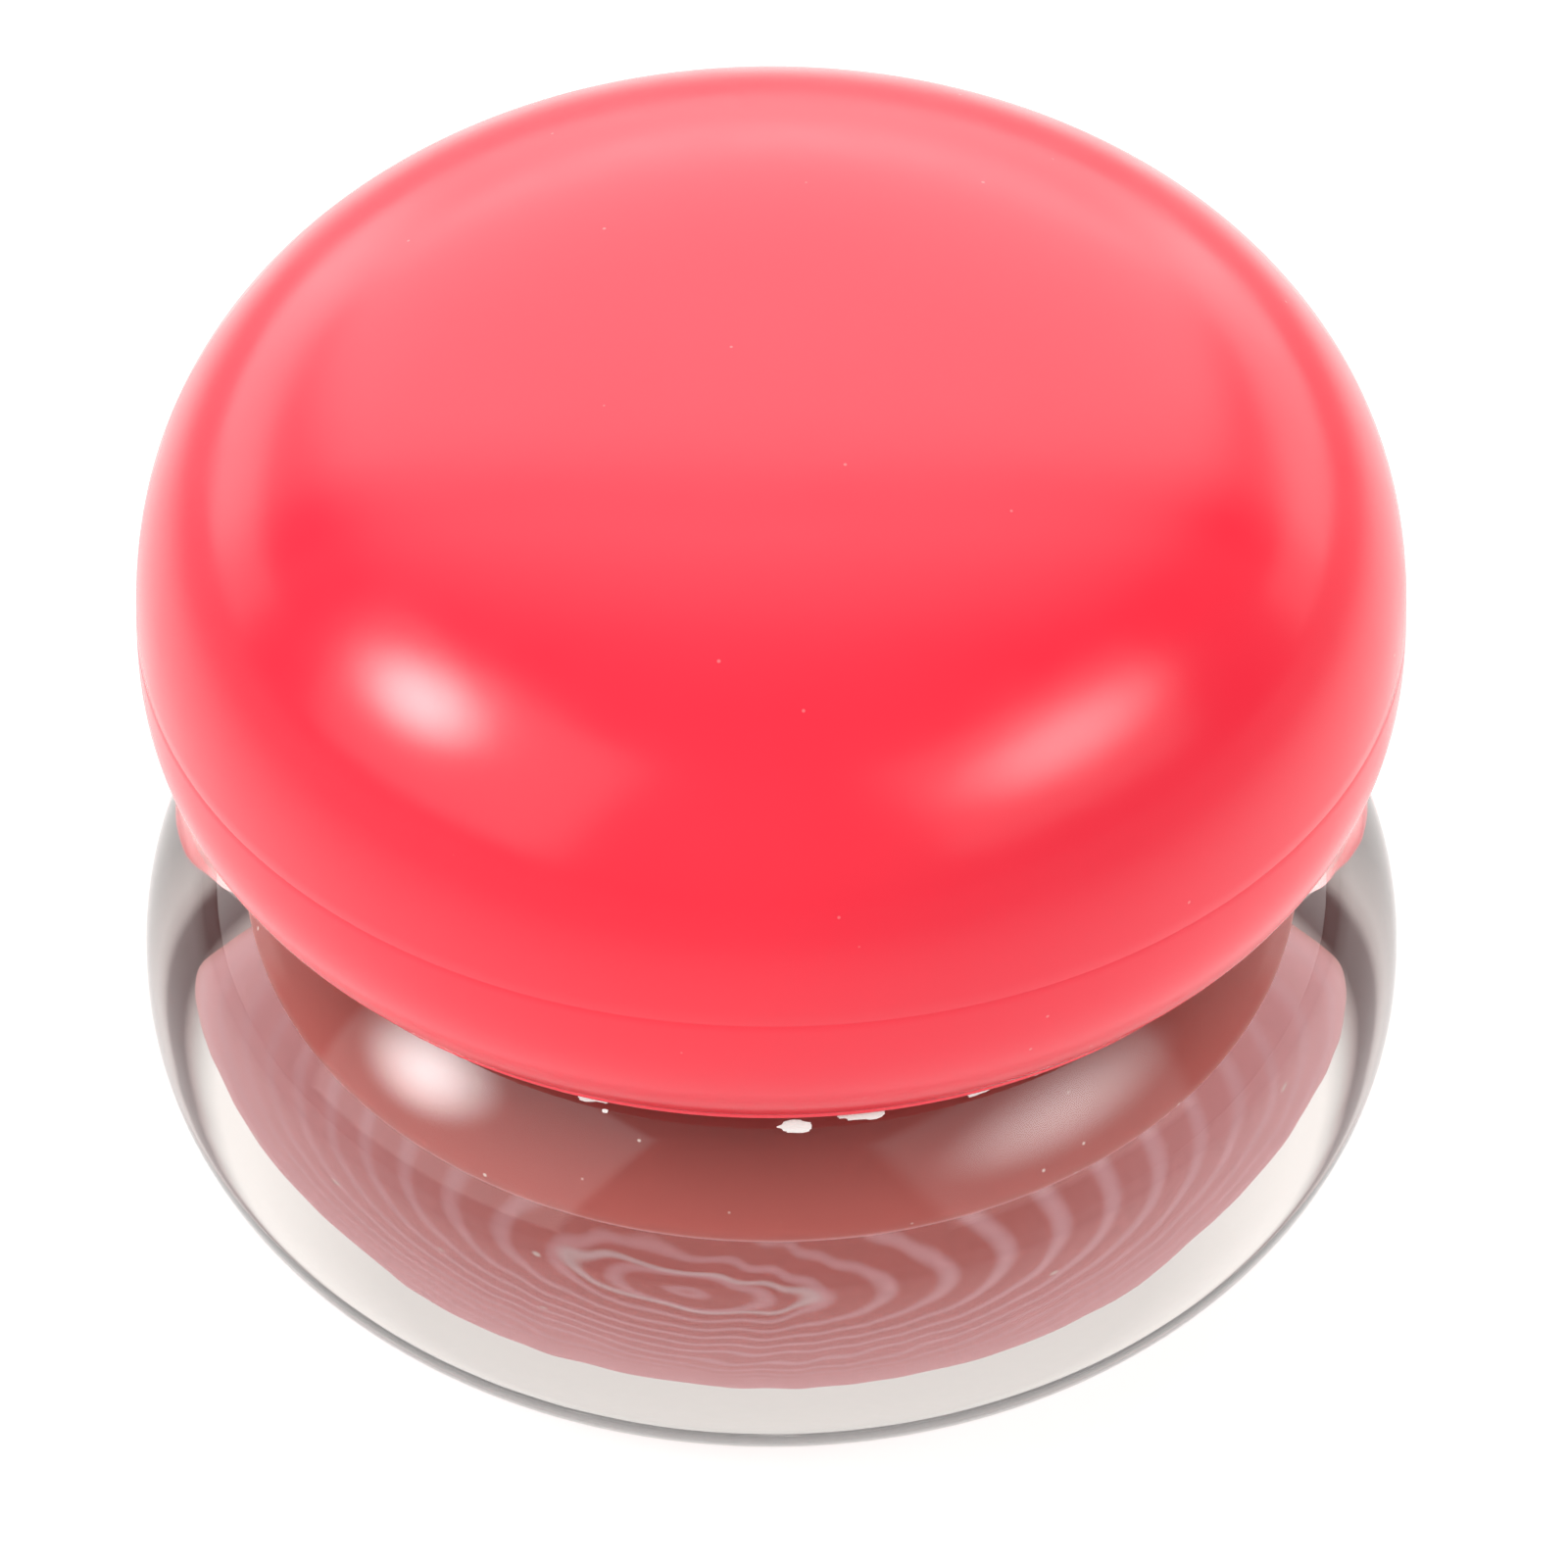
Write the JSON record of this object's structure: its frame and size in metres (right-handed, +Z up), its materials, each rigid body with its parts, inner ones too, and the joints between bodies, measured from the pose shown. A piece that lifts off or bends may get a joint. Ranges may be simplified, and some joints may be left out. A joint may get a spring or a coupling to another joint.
{
  "type": "case opening friction ball",
  "caption": "Tacky brown friction ball kept in a clear, thick-walled, bun-shaped pot with a glossy coral dome cap that unscrews.",
  "frame": {"origin": "centre of the jar's flat base, at its lowest point", "axes": "+Z up along the axis that the jar, thread and cap share; the pictured side faces -Y"},
  "size_m": [0.05, 0.05, 0.043],
  "materials": {
    "clear_acrylic": "polished clear",
    "friction_compound": "soft tacky sheen",
    "seal_plastic": "natural, slightly milky",
    "liner_foam": "fine closed-cell foam",
    "insert_plastic": "satin white",
    "coral_gloss": "glossy"
  },
  "bodies": {
    "jar": {"jar_body": "clear_acrylic", "friction_ball": "friction_compound"},
    "seal": {"seal_disc": "seal_plastic"},
    "liner": {"cap_liner": "liner_foam"},
    "cap": {"cap_insert": "insert_plastic", "cap_shell": "coral_gloss"}
  },
  "joints": [
    {"name": "cap_lift", "type": "slide", "parent": "jar", "child": "liner", "axis": [0, 0, 1], "range_m": [0, 0.032]},
    {"name": "cap_turn", "type": "hinge", "parent": "liner", "child": "cap", "pos_m": [0, 0, 0.0295], "axis": [0, 0, 1], "range_deg": [0, 1800]},
    {"name": "seal_lift", "type": "slide", "parent": "jar", "child": "seal", "axis": [0, 0, 1], "range_m": [0, 0.016]}
  ],
  "couplings": [
    {"joint": "cap_lift", "follows": "cap_turn", "m_per_rad": 0.0010186},
    {"joint": "seal_lift", "follows": "cap_turn", "m_per_rad": 0.0005093}
  ]
}
